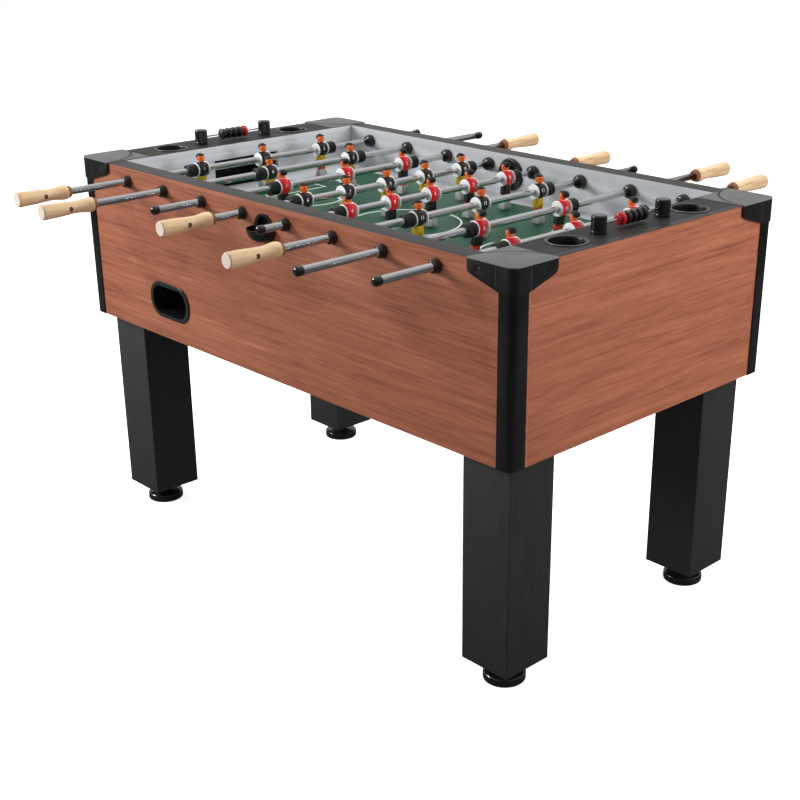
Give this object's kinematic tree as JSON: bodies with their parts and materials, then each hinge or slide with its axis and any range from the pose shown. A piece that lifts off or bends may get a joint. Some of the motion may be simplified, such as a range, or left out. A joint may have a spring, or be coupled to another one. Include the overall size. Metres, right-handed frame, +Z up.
{
  "type": "foosball table",
  "caption": "Full-size foosball table: cherry laminate cabinet on square black legs, rods of toy men that slide and spin, wooden handles, bead scorers, cup holders and ball returns.",
  "frame": {"origin": "on the floor under the middle of the table", "axes": "+Z up, X along the table between the goals, Y along the rods; the side at -Y has its ball return towards -X"},
  "size_m": [1.434, 1.439, 0.945],
  "materials": {
    "cherry_laminate": "satin cherry wood-grain laminate on fibreboard",
    "pale_laminate": "satin pale grey laminate",
    "black_laminate": "matte black wood-grain laminate",
    "floor_board": "bare dark board",
    "green_field": "printed green laminate with white lines",
    "gloss_black_trim": "glossy black moulding",
    "matte_black_cap": "fine textured black moulding",
    "black_screw": "black oxide",
    "black_leg": "matte black laminate on fibreboard",
    "zinc_bolt": "zinc plated",
    "cup_black": "black moulding",
    "steel_wire": "bright steel",
    "bearing_black": "glossy black nylon",
    "bead_red": "glossy red",
    "bead_black": "glossy black",
    "rod_chrome": "chromed steel tube with a black end cap",
    "men_black": "black shirts, yellow shorts, orange legs",
    "men_red": "red shirts, black shorts, red legs",
    "handle_wood": "lacquered turned hardwood",
    "bumper_rubber": "black rubber"
  },
  "bodies": {
    "cabinet": {"side_walls": "cherry_laminate", "end_panels": "cherry_laminate", "cabinet_floor": "floor_board", "end_walls": "pale_laminate", "end_aprons": "black_laminate", "playfield": "green_field", "field_ramps": "pale_laminate", "corner_posts": "gloss_black_trim", "corner_caps": "matte_black_cap", "cap_screws": "black_screw", "legs": "black_leg", "leg_bolts": "zinc_bolt", "cup_holders": "cup_black", "score_posts": "gloss_black_trim", "score_wires": "steel_wire", "serve_cups": "gloss_black_trim", "serve_rings": "gloss_black_trim", "ball_returns": "cup_black", "goal_boxes": "cup_black", "rod_bearings": "bearing_black"},
    "leveller_right_far": {"leveller_right_far": "gloss_black_trim"},
    "leveller_left_far": {"leveller_left_far": "gloss_black_trim"},
    "leveller_right_near": {"leveller_right_near": "gloss_black_trim"},
    "leveller_left_near": {"leveller_left_near": "gloss_black_trim"},
    "red_bead_right": {"red_bead_right": "bead_red"},
    "black_beads_right": {"black_beads_right": "bead_black"},
    "red_bead_left": {"red_bead_left": "bead_red"},
    "black_beads_left": {"black_beads_left": "bead_black"},
    "bumper_pair_1": {"bumpers_1": "bumper_rubber"},
    "rod_set_1": {"rod_1": "rod_chrome", "men_1": "men_black", "handle_1": "handle_wood"},
    "bumper_pair_2": {"bumpers_2": "bumper_rubber"},
    "rod_set_2": {"rod_2": "rod_chrome", "men_2": "men_black", "handle_2": "handle_wood"},
    "bumper_pair_3": {"bumpers_3": "bumper_rubber"},
    "rod_set_3": {"rod_3": "rod_chrome", "men_3": "men_red", "handle_3": "handle_wood"},
    "bumper_pair_4": {"bumpers_4": "bumper_rubber"},
    "rod_set_4": {"rod_4": "rod_chrome", "men_4": "men_black", "handle_4": "handle_wood"},
    "bumper_pair_5": {"bumpers_5": "bumper_rubber"},
    "rod_set_5": {"rod_5": "rod_chrome", "men_5": "men_red", "handle_5": "handle_wood"},
    "bumper_pair_6": {"bumpers_6": "bumper_rubber"},
    "rod_set_6": {"rod_6": "rod_chrome", "men_6": "men_black", "handle_6": "handle_wood"},
    "bumper_pair_7": {"bumpers_7": "bumper_rubber"},
    "rod_set_7": {"rod_7": "rod_chrome", "men_7": "men_red", "handle_7": "handle_wood"},
    "bumper_pair_8": {"bumpers_8": "bumper_rubber"},
    "rod_set_8": {"rod_8": "rod_chrome", "men_8": "men_red", "handle_8": "handle_wood"}
  },
  "joints": [
    {"name": "leveller_right_far_screw_out", "type": "slide", "parent": "cabinet", "child": "leveller_right_far", "axis": [0, 0, -1], "range_m": [0, 0.012]},
    {"name": "leveller_left_far_screw_out", "type": "slide", "parent": "cabinet", "child": "leveller_left_far", "axis": [0, 0, -1], "range_m": [0, 0.012]},
    {"name": "leveller_right_near_screw_out", "type": "slide", "parent": "cabinet", "child": "leveller_right_near", "axis": [0, 0, -1], "range_m": [0, 0.012]},
    {"name": "leveller_left_near_screw_out", "type": "slide", "parent": "cabinet", "child": "leveller_left_near", "axis": [0, 0, -1], "range_m": [0, 0.012]},
    {"name": "red_bead_right_slide", "type": "slide", "parent": "cabinet", "child": "red_bead_right", "axis": [0, -1, 0], "range_m": [0, 0.04]},
    {"name": "black_beads_right_slide", "type": "slide", "parent": "cabinet", "child": "black_beads_right", "axis": [0, 1, 0], "range_m": [0, 0.04]},
    {"name": "red_bead_left_slide", "type": "slide", "parent": "cabinet", "child": "red_bead_left", "axis": [0, 1, 0], "range_m": [0, 0.04]},
    {"name": "black_beads_left_slide", "type": "slide", "parent": "cabinet", "child": "black_beads_left", "axis": [0, -1, 0], "range_m": [0, 0.04]},
    {"name": "rod_1_slide", "type": "slide", "parent": "cabinet", "child": "bumper_pair_1", "axis": [0, 1, 0], "range_m": [-0.1025, 0.1185]},
    {"name": "rod_1_spin", "type": "hinge", "parent": "bumper_pair_1", "child": "rod_set_1", "pos_m": [-0.5187, 0, 0.877], "axis": [0, 1, 0], "continuous": true},
    {"name": "rod_2_slide", "type": "slide", "parent": "cabinet", "child": "bumper_pair_2", "axis": [0, 1, 0], "range_m": [-0.1975, 0.1455]},
    {"name": "rod_2_spin", "type": "hinge", "parent": "bumper_pair_2", "child": "rod_set_2", "pos_m": [-0.3705, 0, 0.877], "axis": [0, 1, 0], "continuous": true},
    {"name": "rod_3_slide", "type": "slide", "parent": "cabinet", "child": "bumper_pair_3", "axis": [0, 1, 0], "range_m": [-0.1225, 0.0985]},
    {"name": "rod_3_spin", "type": "hinge", "parent": "bumper_pair_3", "child": "rod_set_3", "pos_m": [-0.2223, 0, 0.877], "axis": [0, 1, 0], "continuous": true},
    {"name": "rod_4_slide", "type": "slide", "parent": "cabinet", "child": "bumper_pair_4", "axis": [0, 1, 0], "range_m": [-0.0635, 0.0435]},
    {"name": "rod_4_spin", "type": "hinge", "parent": "bumper_pair_4", "child": "rod_set_4", "pos_m": [-0.0741, 0, 0.877], "axis": [0, 1, 0], "continuous": true},
    {"name": "rod_5_slide", "type": "slide", "parent": "cabinet", "child": "bumper_pair_5", "axis": [0, 1, 0], "range_m": [-0.0655, 0.0415]},
    {"name": "rod_5_spin", "type": "hinge", "parent": "bumper_pair_5", "child": "rod_set_5", "pos_m": [0.0741, 0, 0.877], "axis": [0, 1, 0], "continuous": true},
    {"name": "rod_6_slide", "type": "slide", "parent": "cabinet", "child": "bumper_pair_6", "axis": [0, 1, 0], "range_m": [-0.1295, 0.0915]},
    {"name": "rod_6_spin", "type": "hinge", "parent": "bumper_pair_6", "child": "rod_set_6", "pos_m": [0.2223, 0, 0.877], "axis": [0, 1, 0], "continuous": true},
    {"name": "rod_7_slide", "type": "slide", "parent": "cabinet", "child": "bumper_pair_7", "axis": [0, 1, 0], "range_m": [-0.1615, 0.1815]},
    {"name": "rod_7_spin", "type": "hinge", "parent": "bumper_pair_7", "child": "rod_set_7", "pos_m": [0.3705, 0, 0.877], "axis": [0, 1, 0], "continuous": true},
    {"name": "rod_8_slide", "type": "slide", "parent": "cabinet", "child": "bumper_pair_8", "axis": [0, 1, 0], "range_m": [-0.0965, 0.1245]},
    {"name": "rod_8_spin", "type": "hinge", "parent": "bumper_pair_8", "child": "rod_set_8", "pos_m": [0.5187, 0, 0.877], "axis": [0, 1, 0], "continuous": true}
  ]
}
